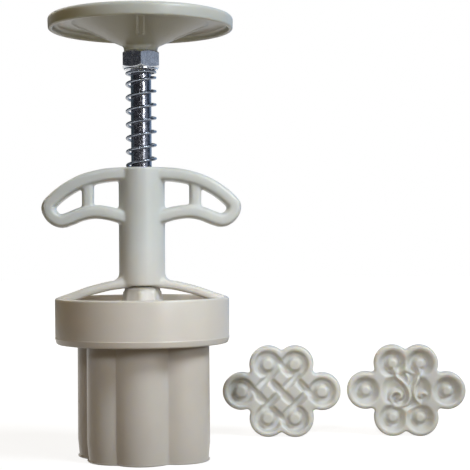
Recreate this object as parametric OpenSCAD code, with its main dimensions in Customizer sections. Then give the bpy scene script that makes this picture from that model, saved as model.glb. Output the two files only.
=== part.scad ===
// Hand press for moulded cakes, standing on the open rim of its six-lobed barrel.
// Millimetres. The origin is at the centre of the rim and +Z runs up the push rod.
// Two loose pattern plates stand on edge beside it, patterns to the front (-Y).

/* [Mould outline] */
// Spacing of the lobes of the stamps; two neighbours along the length are this far apart
lobe_pitch = 13.15; // [12.4:0.05:13.9]
// Radius of each lobe of the stamps
lobe_r = 9.1; // [8.6:0.1:9.5]
// Radius of the hollow between two lobes of the stamps
notch_r = 1.6; // [1.2:0.1:2.2]
// Turn of the barrel's outline from the wings, in degrees
flower_turn = -28.3; // [-45:0.1:0]

/* [Barrel] */
// Height from the rim to the underside of the bayonet tabs
barrel_h = 53.9; // [46:0.1:64]
// Wall thickness at the two end lobes
barrel_wall = 2.1; // [1.2:0.1:2.6]
// How far the outer lobes are drawn together, which makes the outer creases shallow
outer_merge = 1.45; // [1:0.05:1.9]
// Radius in the outer creases
crease_r = 0.8; // [0.5:0.1:1.4]
// Gap between a stamp and the inside of the barrel
stamp_gap = 0.35; // [0.25:0.05:0.6]
// Thickness of the flange and its bayonet tabs
flange_t = 2.7; // [2:0.1:3.4]

/* [Collar] */
// Outer diameter of the collar
collar_d = 77.2; // [75:0.1:84]
// Height of the collar
collar_h = 20.1; // [15:0.1:24]
// Wall thickness of the collar
collar_wall = 2.3; // [1.8:0.1:2.8]
// Number of bayonet lugs
lug_count = 3; // [2:1:3]
// Angle that each lug and tab spans, in degrees
lug_angle = 50; // [40:1:54]
// Thickness of the lugs
lug_t = 2.6; // [2:0.1:3.4]
// How far the lugs reach in from the wall
lug_reach = 3; // [2:0.1:3.6]
// Thickness of the ledge that bears on the barrel
ledge_t = 2; // [1.6:0.1:3]
// Width of that ledge
ledge_w = 5; // [3.5:0.1:6]
// Clearance between the collar's faces and the barrel's
lock_gap = 0.3; // [0.2:0.05:0.5]

/* [Stem and bridge] */
// Outer diameter of the stem
stem_d = 20.4; // [18.4:0.1:22]
// Height of the stem
stem_h = 52.2; // [48:0.1:60]
// Rise of the stem's foot over the collar
bridge_rise = 5.2; // [4.5:0.1:9]
// Thickness of the bridge arms
arm_t = 4; // [2.6:0.1:5]
// Depth of the bridge arms, front to back
arm_d = 14; // [10:0.1:15]
// Depth of the spring's pocket in the stem's top
pocket_h = 12; // [8:0.1:16]
// Running clearance of the rod in the stem, on the radius
rod_gap = 0.05; // [0.03:0.01:0.1]

/* [Wings] */
// Span over the two wing tips
wing_span = 88.2; // [84:0.1:98]
// Height of the wings
wing_h = 26.4; // [24:0.1:30]
// Thickness of the wing bars, seen from the front
bar_t = 6.1; // [4.6:0.1:7]
// Depth of the wings, front to back
wing_d = 14.4; // [11:0.1:16]
// Thickness of the upright strut in each wing
strut_t = 5.1; // [3:0.1:6]
// Distance of the strut from the stem's axis
strut_x = 23.7; // [22.5:0.1:26]

/* [Plunger] */
// Diameter of the push rod
rod_d = 9.1; // [8.4:0.1:9.6]
// Travel of the plunger
stroke = 42; // [34:0.5:42]
// Height left over the stem when the spring is solid
stop_gap = 1.4; // [1:0.1:4]
// Width of the lock nut across its flats
nut_w = 16; // [15:0.1:17]
// Height of the lock nut
nut_h = 8; // [6:0.1:10]
// Diameter of the palm disc
disc_d = 82.2; // [74:0.1:90]
// Height of the disc's rim
rim_h = 6; // [4:0.1:7]
// Thickness of the disc's rim wall
rim_t = 2.2; // [1.8:0.1:3]
// Thickness of the disc's plate
plate_t = 3; // [2:0.1:3.4]
// Diameter of the disc's hub
hub_d = 15; // [14:0.1:17]
// Height of the hub below the rim
hub_drop = 9.7; // [9:0.1:14]
// Reach of the cone under the disc from the axis
cone_reach = 30.4; // [29:0.1:34]
// Thickness of the low ribs on the cone
rib_t = 2.2; // [1.6:0.1:3]
// Height of those ribs over the cone
rib_h = 0.4; // [0.2:0.1:1.2]
// Reach of those ribs from the axis
rib_reach = 28; // [22:0.1:28]

/* [Spring] */
// Outer diameter of the spring
coil_d = 13.8; // [13.4:0.1:14]
// Diameter of the spring's wire
wire_d = 1.3; // [1.1:0.05:1.5]
// Distance between two turns at rest
coil_pitch = 6; // [5:0.1:7]
// Height of one turn's right-hand end above the stem's top
coil_phase = 4.1; // [0:0.1:6]

/* [Press foot] */
// Thickness of the foot's plate
foot_t = 3.2; // [2.4:0.1:4]
// Diameter of the foot's hub at its top
foot_hub_d = 15.4; // [15:0.1:16.4]
// Distance from the top of the hub to the plate's underside
foot_h = 26.1; // [25:0.1:28]
// Diameter of the round spigot that takes a stamp
spigot_d = 22; // [21:0.1:25]
// Height of that spigot
spigot_h = 2; // [1.6:0.1:3]
// Number of ribs on the hub
foot_ribs = 8; // [4:1:10]
// Diameter of the rod's threaded lower end
thread_d = 7.8; // [7:0.1:8]
// Width of the foot nut across its flats
foot_nut_w = 13; // [12:0.1:13.4]
// Height of the foot nut
foot_nut_h = 4.8; // [4:0.1:5]
// Thickness of the foot washer
washer_t = 1.4; // [1:0.1:1.6]

/* [Stamps] */
// Thickness of a stamp, border included
stamp_t = 6.5; // [5.4:0.1:8]
// Depth of the relief below the border
relief = 3.4; // [2.4:0.1:3.9]
// Radius of the raised bosses in the lobes
boss_r = 2.8; // [2.2:0.1:3.4]
// Width of the knot's cord
cord_w = 3.7; // [3:0.1:4]
// Width of the ridge that draws the scroll
ridge_w = 1.1; // [0.8:0.1:1.6]
// Height of the socket ring on the back
socket_h = 1.9; // [1.4:0.1:2.4]
// Wall of that socket ring
socket_wall = 1.8; // [1.4:0.1:2.4]
// Place of the knot stamp's centre, to the right of the press
knot_x = 68.2; // [56:0.1:70]
// Place of the knot stamp's centre, behind the press
knot_y = 60; // [52:0.1:64]
// Place of the scroll stamp's centre, to the right of the press
scroll_x = 129; // [128:0.1:150]
// Place of the scroll stamp's centre, behind the press
scroll_y = 56; // [52:0.1:64]
// Turn of the stamps towards a viewer in front of the press, in degrees
stamp_turn = 9; // [0:1:12]

/* [Hidden] */
eps = 0.01;

abs_colour = [0.92, 0.90, 0.83];
steel_colour = [0.72, 0.73, 0.76];

// Heights
collar_z = barrel_h - lock_gap - lug_t;
flange_z = barrel_h + flange_t;
ledge_z = flange_z + lock_gap;
collar_top = collar_z + collar_h;
stem_z = collar_top + bridge_rise;
stem_top = stem_z + stem_h;
pocket_z = stem_top - pocket_h;
nut_z = stem_top + stroke + stop_gap;
disc_hub_z = nut_z + nut_h;
rim_z = disc_hub_z + hub_drop;
disc_top = rim_z + rim_h;
rod_top = disc_top - plate_t - 1.8;
foot_top = stem_z - lock_gap;
foot_z = foot_top - foot_h;
spigot_z = foot_z - spigot_h;
washer_z = foot_z + foot_t + 0.4;
foot_nut_z = washer_z - foot_nut_h;
shoulder_z = washer_z + washer_t + 6;

// Radii
stem_r = stem_d / 2;
collar_r = collar_d / 2;
collar_bore = collar_r - collar_wall;
rod_r = rod_d / 2;
bore_r = rod_r + rod_gap;
thread_r = thread_d / 2;
pocket_r = coil_d / 2 + 0.5;
tab_r = collar_bore - lock_gap;
flange_r = collar_bore - lug_reach - 0.4;
hub_r = hub_d / 2;
cavity_r = lobe_r + stamp_gap;
foot_lobe_r = lobe_r - 0.15;
washer_r = 7.9;
foot_pocket_r = washer_r + 0.3;

// ---------------------------------------------------------------- outlines

// Centres of the six lobes, counterclockwise
function lobes(u) = [[1.5 * u, 0], [0.5 * u, u], [-0.5 * u, u],
    [-1.5 * u, 0], [-0.5 * u, -u], [0.5 * u, -u]];

function angle_of(v) = atan2(v[1], v[0]);
function turn_of(a, b) = (b - a + 720) % 360;
function polar(r, a) = [r * cos(a), r * sin(a)];

// Centre of the fillet circle in the hollow between lobes a and b
function hollow(a, b, r, f) =
    let (m = (a + b) / 2, d = b - a, half = norm(d) / 2, n = [d[1], -d[0]] / norm(d))
    m + n * sqrt(pow(r + f, 2) - half * half);

// Outline of six round lobes of radius r with hollows of radius f between them
function flower(u, r, f, steps = 14, bends = 4) =
    let (c = lobes(u))
    [for (i = [0:5])
        let (
            before = hollow(c[(i + 5) % 6], c[i], r, f),
            after = hollow(c[i], c[(i + 1) % 6], r, f),
            a0 = angle_of(before - c[i]),
            sweep = turn_of(a0, angle_of(after - c[i])),
            b0 = a0 + sweep + 180,
            bend = turn_of(angle_of(c[(i + 1) % 6] - after), b0)
        )
        each concat(
            [for (k = [0:steps]) c[i] + polar(r, a0 + sweep * k / steps)],
            [for (k = [1:bends - 1]) after + polar(f, b0 - bend * k / bends)]
        )
    ];

// A smooth curve through the points p, with n steps between two of them
function curve_point(a, b, c, d, t) =
    0.5 * (2 * b + (c - a) * t + (2 * a - 5 * b + 4 * c - d) * t * t
        + (3 * b - a - 3 * c + d) * t * t * t);
function smooth(p, n) =
    let (last = len(p) - 1)
    concat(
        [for (i = [0:last - 1], k = [0:n - 1])
            curve_point(p[max(i - 1, 0)], p[i], p[i + 1], p[min(i + 2, last)], k / n)],
        [p[last]]
    );

function direction(p, i) =
    let (v = p[min(i + 1, len(p) - 1)] - p[max(i - 1, 0)])
    v / norm(v);

// ---------------------------------------------------------------- sweeps

// Triangles of a tube of closed rings, with flat ends
function tube_faces(rings, sides) = concat(
    [for (i = [0:rings - 2], j = [0:sides - 1])
        let (a = i * sides + j, b = i * sides + (j + 1) % sides)
        each [[a, b, b + sides], [a, b + sides, a + sides]]],
    [for (j = [1:sides - 2]) [0, j + 1, j]],
    [for (j = [1:sides - 2]) let (z = (rings - 1) * sides) [z, z + j, z + j + 1]]
);

// A bar with a soft rectangular section along a path of [x, z] points.
// t is its thickness in the plane of the path and d its depth along Y.
module bar(path, t, d, sides = 16) {
    softness = 0.62;
    points = [for (i = [0:len(path) - 1], j = [0:sides - 1])
        let (
            v = direction(path, i),
            a = 360 * (j + 0.5) / sides,
            across = t / 2 * sign(cos(a)) * pow(abs(cos(a)), softness),
            along_y = d / 2 * sign(sin(a)) * pow(abs(sin(a)), softness)
        )
        [path[i][0] - v[1] * across, along_y, path[i][1] + v[0] * across]];
    polyhedron(points, tube_faces(len(path), sides), convexity = 8);
}

// ---------------------------------------------------------------- barrel

module sector(r, angle, h) {
    far = 2 * r;
    intersection() {
        cylinder(h = h, r = r, $fn = 96);
        linear_extrude(h)
            polygon([[0, 0], polar(far, -angle / 2), polar(far, 0), polar(far, angle / 2)]);
    }
}

module mold_barrel() {
    outer_pitch = lobe_pitch - outer_merge;
    outer_r = cavity_r + barrel_wall + 1.5 * outer_merge;
    color(abs_colour)
    difference() {
        union() {
            rotate(flower_turn)
                linear_extrude(barrel_h + flange_t / 2)
                    polygon(flower(outer_pitch, outer_r, crease_r));
            translate([0, 0, barrel_h])
                cylinder(h = flange_t, r = flange_r, $fn = 96);
            translate([0, 0, barrel_h])
                for (i = [0:lug_count - 1])
                    rotate(360 / lug_count * i + 90)
                        sector(tab_r, lug_angle, flange_t);
        }
        translate([0, 0, -1])
            rotate(flower_turn)
                linear_extrude(flange_z + 2)
                    polygon(flower(lobe_pitch, cavity_r, notch_r - stamp_gap));
    }
}

// ---------------------------------------------------------------- handle

// The middle of a wing's bar as shares of its reach and of the wing's height, from the stem's top
// round the tip and back to the stem
wing_shape = [[0.106, 0.895], [0.234, 0.892], [0.372, 0.875], [0.516, 0.832], [0.655, 0.762],
    [0.806, 0.635], [0.936, 0.475], [1.0, 0.34], [0.955, 0.185], [0.865, 0.112],
    [0.762, 0.155], [0.649, 0.225], [0.511, 0.262], [0.362, 0.238], [0.234, 0.185], [0.106, 0.13]];

// Bridge arm as shares of the way out to the collar's wall and of the rise over the collar
arm_shape = [[0.10, 0.20], [0.20, 0.17], [0.38, 0], [0.495, -0.19], [0.63, -0.44], [0.81, -0.90],
    [1.0, -1.37]];

module wing() {
    reach = (wing_span - bar_t) / 2;
    wing_z = stem_top - wing_h;
    loop = [for (p = wing_shape) [p[0] * reach, wing_z + p[1] * wing_h]];
    bar(smooth(loop, 3), bar_t, wing_d);
    // The strut stands between the loop's two bars.
    translate([strut_x, 0, wing_z + 0.26 * wing_h])
        linear_extrude(0.6 * wing_h)
            rounded_rect(strut_t, wing_d - 2.4, 1.6);
}

module rounded_rect(w, d, r) {
    square([w - 2 * r, d], center = true);
    square([w, d - 2 * r], center = true);
    for (x = [-1, 1], y = [-1, 1])
        translate([x * (w / 2 - r), y * (d / 2 - r)])
            circle(r, $fn = 24);
}

module arm() {
    reach = collar_r - collar_wall / 2;
    path = [for (p = arm_shape) [p[0] * reach, stem_z + p[1] * bridge_rise]];
    bar(smooth(path, 4), arm_t, arm_d);
}

module collar() {
    edge = 0.6;
    translate([0, 0, collar_z])
        rotate_extrude($fn = 120)
            polygon([[collar_bore, 0], [collar_r - edge, 0], [collar_r, edge],
                [collar_r, collar_h - edge], [collar_r - edge, collar_h], [collar_bore, collar_h]]);
    translate([0, 0, ledge_z])
        difference() {
            cylinder(h = ledge_t, r = collar_bore + 1, $fn = 96);
            translate([0, 0, -1])
                cylinder(h = ledge_t + 2, r = collar_bore - ledge_w, $fn = 96);
        }
    translate([0, 0, collar_z])
        for (i = [0:lug_count - 1])
            rotate(360 / lug_count * i + 90)
                difference() {
                    sector(collar_bore + 1, lug_angle, lug_t);
                    translate([0, 0, -1])
                        cylinder(h = lug_t + 2, r = collar_bore - lug_reach, $fn = 96);
                }
}

module handle_body() {
    color(abs_colour)
    difference() {
        union() {
            translate([0, 0, stem_z])
                cylinder(h = stem_h, r = stem_r, $fn = 96);
            for (side = [0, 1])
                mirror([side, 0, 0]) {
                    wing();
                    arm();
                }
            collar();
        }
        translate([0, 0, stem_z - stem_h])
            cylinder(h = 3 * stem_h, r = bore_r, $fn = 64);
        translate([0, 0, pocket_z])
            cylinder(h = pocket_h + 1, r = pocket_r, $fn = 64);
        // Room for the top of the foot's hub under the stem
        translate([0, 0, stem_z - 10])
            cylinder(h = 10, r = foot_hub_d / 2 + 0.8, $fn = 64);
    }
}

// ---------------------------------------------------------------- plunger

module hex_nut(w, h, bore, chamfer) {
    corner = w / sqrt(3);
    difference() {
        intersection() {
            rotate(30)
                cylinder(h = h, r = corner, $fn = 6);
            rotate_extrude($fn = 96)
                polygon([[0, 0], [corner - chamfer * 1.7, 0], [corner, chamfer],
                    [corner, h - chamfer], [corner - chamfer * 1.7, h], [0, h]]);
        }
        translate([0, 0, -1])
            cylinder(h = h + 2, r = bore, $fn = 64);
    }
}

module push_rod() {
    tip = 0.8;
    color(steel_colour)
    rotate_extrude($fn = 96)
        polygon([[0, foot_nut_z + 0.4], [thread_r - tip, foot_nut_z + 0.4],
            [thread_r, foot_nut_z + 0.4 + tip], [thread_r, shoulder_z],
            [rod_r, shoulder_z], [rod_r, rod_top - tip], [rod_r - tip, rod_top], [0, rod_top]]);
}

module palm_disc() {
    disc_r = disc_d / 2;
    plate_z = disc_top - plate_t;
    round_r = 1.4;
    color(abs_colour)
    difference() {
        union() {
            // Hub, cone, plate and rim
            rotate_extrude($fn = 144)
                polygon(concat(
                    [[0, disc_hub_z], [hub_r, disc_hub_z], [hub_r, cone_z - 1.4],
                        [hub_r + 0.45, cone_z - 0.5], [cone_r, cone_z], [cone_reach, plate_z]],
                    [[disc_r - rim_t, plate_z], [disc_r - rim_t, rim_z + 0.4],
                        [disc_r - rim_t + 0.4, rim_z], [disc_r - 0.5, rim_z], [disc_r, rim_z + 0.5]],
                    [for (a = [0:15:90])
                        [disc_r - round_r, disc_top - round_r] + polar(round_r, a)],
                    [[0, disc_top]]
                ));
            for (a = [0:90:270])
                rotate(a)
                    translate([0, rib_t / 2, 0])
                        rotate([90, 0, 0])
                            linear_extrude(rib_t)
                                polygon(rib_outline(plate_z));
        }
        translate([0, 0, disc_hub_z - 1])
            cylinder(h = rod_top + 0.4 - disc_hub_z + 1, r = rod_r + rod_gap, $fn = 64);
    }
}

// Where the cone's straight slope leaves the hub's fillet
cone_r = hub_r + 1.4;
cone_z = disc_hub_z + 3;

// Side view of one low rib, which follows the cone's slope
function rib_outline(plate_z) =
    let (
        start = cone_r + 6,
        rise = (plate_z - cone_z) / (cone_reach - cone_r),
        low = cone_z - rib_h
    )
    [[start, plate_z + 0.5], [start, low + rise * (start - cone_r)],
        [rib_reach, low + rise * (rib_reach - cone_r)], [rib_reach, plate_z + 0.5]];

module lock_nut() {
    color(steel_colour)
    translate([0, 0, nut_z])
        hex_nut(nut_w, nut_h, rod_r + rod_gap, 1.2);
}

// ---------------------------------------------------------------- spring

coil_r = (coil_d - wire_d) / 2;
spring_gap = 0.1;
spring_z = pocket_z + spring_gap;
spring_end = nut_z - spring_gap;
helix_z = spring_z + wire_d;
helix_end = spring_end - wire_d;
// A right-handed helix: its turns cross the right-hand side at coil_phase above the stem's top.
function coil_angle(z) = 360 * (z - stem_top - coil_phase) / coil_pitch;
function coil_point(z) = concat(polar(coil_r, coil_angle(z)), z);
coil_turns = (helix_end - helix_z) / coil_pitch;
coil_rings = ceil(8 * coil_turns);
wire_path = concat(
    [[each polar(coil_r, coil_angle(helix_z)), spring_z]],
    [for (i = [0:coil_rings]) coil_point(helix_z + (helix_end - helix_z) * i / coil_rings)],
    [[each polar(coil_r, coil_angle(helix_end)), spring_end]]
);

// Least distance between two turns, measured on the path's points that lie half a turn or more apart
coil_gap = min([for (i = [1:len(wire_path) - 2], j = [i + 5:1:min(i + 12, len(wire_path) - 2)])
    norm(wire_path[i] - wire_path[j])]) - wire_d;
echo(spring_turns = coil_turns, least_gap_between_turns = coil_gap);

module return_spring() {
    sides = 6;
    count = len(wire_path);
    points = [for (i = [0:count - 1], j = [0:sides - 1])
        let (
            p = wire_path[i],
            last = i == 0 || i == count - 1,
            v = last ? [0, 0, 1] : direction(wire_path, i),
            outward = [p[0], p[1], 0] / coil_r,
            square_up = cross(v, outward),
            n = square_up / norm(square_up),
            m = cross(n, v),
            a = 360 * j / sides
        )
        p + wire_d / 2 * (m * cos(a) + n * sin(a))];
    color(steel_colour)
    polyhedron(points, tube_faces(count, sides), convexity = 10);
}

// ---------------------------------------------------------------- foot

module press_foot() {
    top_r = foot_hub_d / 2;
    plate_top = foot_z + foot_t;
    color(abs_colour)
    difference() {
        union() {
            rotate(flower_turn)
                translate([0, 0, foot_z])
                    linear_extrude(foot_t)
                        polygon(flower(lobe_pitch, foot_lobe_r, notch_r + 0.15));
            // Flared hub
            rotate_extrude($fn = 96)
                polygon([[0, plate_top - 1], [top_r + 8.5, plate_top - 1], [top_r + 8.5, plate_top],
                    [top_r + 4.4, plate_top + 3.4], [top_r + 2.2, plate_top + 9],
                    [top_r + 1, plate_top + 16], [top_r, foot_top - 0.6], [top_r - 0.6, foot_top],
                    [0, foot_top]]);
            // Upright ribs on the hub
            for (i = [0:foot_ribs - 1])
                rotate(360 / foot_ribs * (i + 0.5) + flower_turn)
                    translate([0, 0.8, 0])
                        rotate([90, 0, 0])
                            linear_extrude(1.6)
                                polygon([[top_r - 2, plate_top - 1], [top_r + 10, plate_top - 1],
                                    [top_r + 10, plate_top], [top_r + 5.6, plate_top + 5],
                                    [top_r + 2, plate_top + 13], [top_r + 0.8, foot_top - 2.4],
                                    [top_r - 2, foot_top - 2.4]]);
            translate([0, 0, spigot_z])
                cylinder(h = spigot_h + 1, r = spigot_d / 2, $fn = 96);
        }
        translate([0, 0, shoulder_z])
            cylinder(h = foot_top - shoulder_z + 1, r = rod_r + rod_gap, $fn = 64);
        translate([0, 0, spigot_z - 1])
            cylinder(h = shoulder_z - spigot_z + 2, r = thread_r + rod_gap, $fn = 64);
        translate([0, 0, spigot_z - 1])
            cylinder(h = washer_z + washer_t - spigot_z + 1, r = foot_pocket_r, $fn = 64);
    }
}

module foot_washer() {
    color(steel_colour)
    translate([0, 0, washer_z])
        difference() {
            cylinder(h = washer_t, r = washer_r, $fn = 64);
            translate([0, 0, -1])
                cylinder(h = washer_t + 2, r = thread_r + 0.2, $fn = 64);
        }
}

module foot_nut() {
    color(steel_colour)
    translate([0, 0, foot_nut_z])
        hex_nut(foot_nut_w, foot_nut_h, thread_r + rod_gap, 0.8);
}

// ---------------------------------------------------------------- stamps

// Stands a stamp drawn face up on the floor on its two lower lobes, with its face to the front.
module stand(x, y) {
    translate([x, y, lobe_pitch + lobe_r])
        rotate(-stamp_turn)
            rotate([90, 0, 0])
                children();
}

module bosses(h) {
    for (c = lobes(lobe_pitch))
        translate([c[0], c[1], stamp_t - relief - eps])
            cylinder(h = h, r = boss_r, $fn = 32);
}

module socket() {
    outer = spigot_d / 2 + 0.15 + socket_wall;
    translate([0, 0, -socket_h])
        difference() {
            cylinder(h = socket_h + 0.5, r = outer, $fn = 64);
            translate([0, 0, -1])
                cylinder(h = socket_h + 1, r = outer - socket_wall, $fn = 64);
        }
}

module stamp_blank() {
    linear_extrude(stamp_t)
        polygon(flower(lobe_pitch, lobe_r, notch_r));
}

// The knot's cord runs in three strands each way on the diagonals and loops round every boss.
strand_gap = lobe_pitch / sqrt(2);
module cord_grooves() {
    loop_r = strand_gap / 2;
    for (c = lobes(lobe_pitch))
        translate(c)
            circle(loop_r + cord_w / 2, $fn = 48);
    for (a = [45, -45], k = [-1:1])
        rotate(a)
            translate([0, k * strand_gap])
                square([3 * strand_gap, cord_w], center = true);
}

module stamp_knot() {
    color(abs_colour)
    stand(knot_x, knot_y)
        union() {
            difference() {
                stamp_blank();
                translate([0, 0, stamp_t - relief])
                    linear_extrude(relief + 1)
                        cord_grooves();
            }
            bosses(relief - 0.5);
            socket();
        }
}

// Two spiral coils joined by a long stroke, as [x, y] shares of the lobe spacing
function spiral(c, r0, r1, a0, a1, n) =
    [for (k = [0:n]) c + polar(r0 + (r1 - r0) * k / n, a0 + (a1 - a0) * k / n)];
large_coil = spiral([-0.28, -0.3], 0.09, 0.52, -80, 425, 22);
small_coil = spiral([0.62, -0.22], 0.08, 0.3, 200, -230, 16);
scroll_strokes = [
    concat(large_coil, [[-0.16, 0.42], [-0.34, 0.72]]),
    concat(small_coil, [[0.66, 0.3], [0.3, 0.42], [0.02, 0.2]]),
    [[-0.24, 0.86], [-0.12, 0.5], [0.08, 0.12], [0.26, -0.2], [0.3, -0.62]]
];

module stroke(points, w) {
    path = smooth([for (p = points) p * lobe_pitch], 2);
    last = len(path) - 1;
    left = [for (i = [0:last]) let (v = direction(path, i)) path[i] + w / 2 * [-v[1], v[0]]];
    right = [for (i = [last:-1:0]) let (v = direction(path, i)) path[i] - w / 2 * [-v[1], v[0]]];
    polygon(concat(left, right));
}

module stamp_scroll() {
    rim_w = lobe_r - (strand_gap + cord_w) / 2;
    color(abs_colour)
    stand(scroll_x, scroll_y)
        union() {
            difference() {
                stamp_blank();
                translate([0, 0, stamp_t - relief])
                    linear_extrude(relief + 1)
                        polygon(flower(lobe_pitch, lobe_r - rim_w, notch_r + rim_w));
            }
            bosses(relief - 0.5);
            for (s = scroll_strokes)
                translate([0, 0, stamp_t - relief - eps])
                    linear_extrude(relief - 1)
                        stroke(s, ridge_w);
            socket();
        }
}

mold_barrel();
handle_body();
push_rod();
palm_disc();
lock_nut();
return_spring();
press_foot();
foot_washer();
foot_nut();
stamp_knot();
stamp_scroll();
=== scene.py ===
"""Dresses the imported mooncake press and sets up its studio.

Lengths in the code are millimetres, as in the part's source; mesh_object() turns them into metres.
The press stands on its barrel's rim at the origin, +Z up the push rod, and is seen from -Y.
"""

import math

import bmesh
import bpy
import numpy as np
from mathutils import Matrix, Vector


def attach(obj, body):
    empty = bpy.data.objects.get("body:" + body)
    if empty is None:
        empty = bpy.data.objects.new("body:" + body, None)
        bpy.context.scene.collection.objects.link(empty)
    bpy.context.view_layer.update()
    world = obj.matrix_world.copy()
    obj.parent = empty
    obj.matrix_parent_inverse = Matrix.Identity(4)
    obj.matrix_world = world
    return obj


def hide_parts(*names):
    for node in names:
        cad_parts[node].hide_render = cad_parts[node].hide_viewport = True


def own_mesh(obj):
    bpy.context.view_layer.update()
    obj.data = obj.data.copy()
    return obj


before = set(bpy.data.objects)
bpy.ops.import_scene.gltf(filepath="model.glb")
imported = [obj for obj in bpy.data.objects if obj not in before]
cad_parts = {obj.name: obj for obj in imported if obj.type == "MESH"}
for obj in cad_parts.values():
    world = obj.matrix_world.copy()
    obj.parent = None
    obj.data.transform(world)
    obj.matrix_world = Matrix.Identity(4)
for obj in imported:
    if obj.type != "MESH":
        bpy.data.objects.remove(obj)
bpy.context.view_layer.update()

MM = 0.001
WELD = 0.002  # points nearer than this are one
WHITE = (1, 1, 1, 1)

# ---------------------------------------------------------------- sizes, as in the part's source

# The flower of the foot and the stamps: spacing and radius of its lobes, radius of the hollows between them
LOBE_PITCH, LOBE_R, NOTCH_R = 13.15, 9.1, 1.6
FLOWER_TURN = math.radians(-28.3)

# The barrel's outside and its cavity are flowers of their own. Its flange carries the bayonet's tabs.
BARREL_H, FLANGE_T = 53.9, 2.7
OUTER_PITCH, OUTER_R, CREASE_R = 11.7, 13.725, 0.8
CAVITY_R, CAVITY_NOTCH_R = 9.45, 1.25
FLANGE_TOP = BARREL_H + FLANGE_T
FLANGE_R, TAB_R = 32.9, 36.0

# The collar, the ledge inside it and the lugs under the barrel's tabs
COLLAR_Z, COLLAR_H = 51.0, 20.1
COLLAR_TOP = COLLAR_Z + COLLAR_H
COLLAR_R, COLLAR_BORE = 38.6, 36.3
LEDGE_Z, LEDGE_T, LEDGE_W = 56.9, 2.0, 5.0
LUG_COUNT, LUG_ANGLE, LUG_T, LUG_REACH = 3, math.radians(50), 2.6, 3.0

# The stem with its guide bore and spring pocket, and the bridge arms at its foot
STEM_R, STEM_Z, STEM_TOP = 10.2, 76.3, 128.5
BRIDGE_RISE, ARM_T, ARM_D = 5.2, 4.0, 14.0
BORE_R, POCKET_R, POCKET_Z = 4.6, 7.4, 116.5

# The wings: the middle of their bar, and that of the arms, in shares of the reach and of the height
WING_REACH, WING_H, BAR_T, WING_D = 41.05, 26.4, 6.1, 14.4
STRUT_X, STRUT_T = 23.7, 5.1
WING_SHAPE = [
    (0.106, 0.895), (0.234, 0.892), (0.372, 0.875), (0.516, 0.832), (0.655, 0.762), (0.806, 0.635),
    (0.936, 0.475), (1.0, 0.34), (0.955, 0.185), (0.865, 0.112), (0.762, 0.155), (0.649, 0.225),
    (0.511, 0.262), (0.362, 0.238), (0.234, 0.185), (0.106, 0.13),
]
ARM_SHAPE = [
    (0.10, 0.20), (0.20, 0.17), (0.38, 0), (0.495, -0.19), (0.63, -0.44), (0.81, -0.90), (1.0, -1.37),
]

# The rod, its lock nut and the palm disc with its hub, cone and ribs
ROD_R, ROD_BOTTOM, ROD_TOP, SHOULDER_Z, THREAD_R = 4.55, 49.1, 190.8, 60.9, 3.9
FIT = 0.05  # clearance of a bore on the rod
NUT_Z, NUT_H, NUT_W = 171.9, 8.0, 16.0
HUB_Z, HUB_R = 179.9, 7.5
CONE_R, CONE_Z, CONE_REACH = 8.9, 182.9, 30.4
DISC_R, DISC_TOP, RIM_Z, RIM_T, PLATE_T = 41.1, 195.6, 189.6, 2.2, 3.0
RIB_COUNT, RIB_T, RIB_H, RIB_REACH = 4, 2.2, 0.4, 28.0

# The spring at rest.
WIRE_R, COIL_R, COIL_PITCH, COIL_PHASE = 0.65, 6.25, 6.0, 4.1
SPRING_Z, SPRING_END = 116.6, 171.8

# The foot, the spigot under it and the pocket for its nut
FOOT_Z, FOOT_T, FOOT_TOP, FOOT_HUB_R, FOOT_RIBS = 49.9, 3.2, 76.0, 7.7, 8
SPIGOT_R, SPIGOT_Z, FOOT_POCKET_R, FOOT_POCKET_TOP = 11.0, 47.9, 8.2, 54.9
FOOT_PLAY = 0.15  # that the plate's outline is smaller than the stamps'

# The stamps: depth of the relief, socket ring on the back, and places on the floor
STAMP_T, RELIEF, SOCKET_H, SOCKET_WALL, SOCKET_PLAY = 6.5, 3.4, 1.9, 1.8, 0.15
STAMP_TURN = math.radians(-9)
KNOT_PLACE, SCROLL_PLACE = (68.2, 60.0), (129.0, 56.0)


# ---------------------------------------------------------------- mesh helpers

def scene_object(name, data):
    """A new object in the scene."""
    obj = bpy.data.objects.new(name, data)
    bpy.context.scene.collection.objects.link(obj)
    return obj


def shade_smooth(mesh):
    """Smooth shading on every face."""
    mesh.polygons.foreach_set("use_smooth", [True] * len(mesh.polygons))


def mesh_object(name, vertices, faces):
    """A smooth mesh object from vertices in millimetres."""
    mesh = bpy.data.meshes.new(name)
    mesh.from_pydata([tuple(MM * c for c in v) for v in vertices], [], [tuple(f) for f in faces])
    mesh.update()
    tidy = bmesh.new()
    tidy.from_mesh(mesh)
    bmesh.ops.remove_doubles(tidy, verts=tidy.verts, dist=WELD * MM)
    bmesh.ops.recalc_face_normals(tidy, faces=tidy.faces)
    tidy.to_mesh(mesh)
    tidy.free()
    shade_smooth(mesh)
    return scene_object(name, mesh)


def grid_faces(rows, columns, close_rows=False):
    """Quads between rows of points; every row is a closed ring of columns points."""
    last = rows if close_rows else rows - 1
    return [
        (i * columns + j, i * columns + (j + 1) % columns,
         (i + 1) % rows * columns + (j + 1) % columns, (i + 1) % rows * columns + j)
        for i in range(last) for j in range(columns)
    ]


def rings_object(name, rings, close=False):
    """A skin over closed rings of equal length. It is capped at both ends, or closed on itself."""
    columns = len(rings[0])
    faces = grid_faces(len(rings), columns, close)
    if not close:
        faces.append(tuple(reversed(range(columns))))
        faces.append(tuple((len(rings) - 1) * columns + j for j in range(columns)))
    return mesh_object(name, [p for ring in rings for p in ring], faces)


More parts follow.
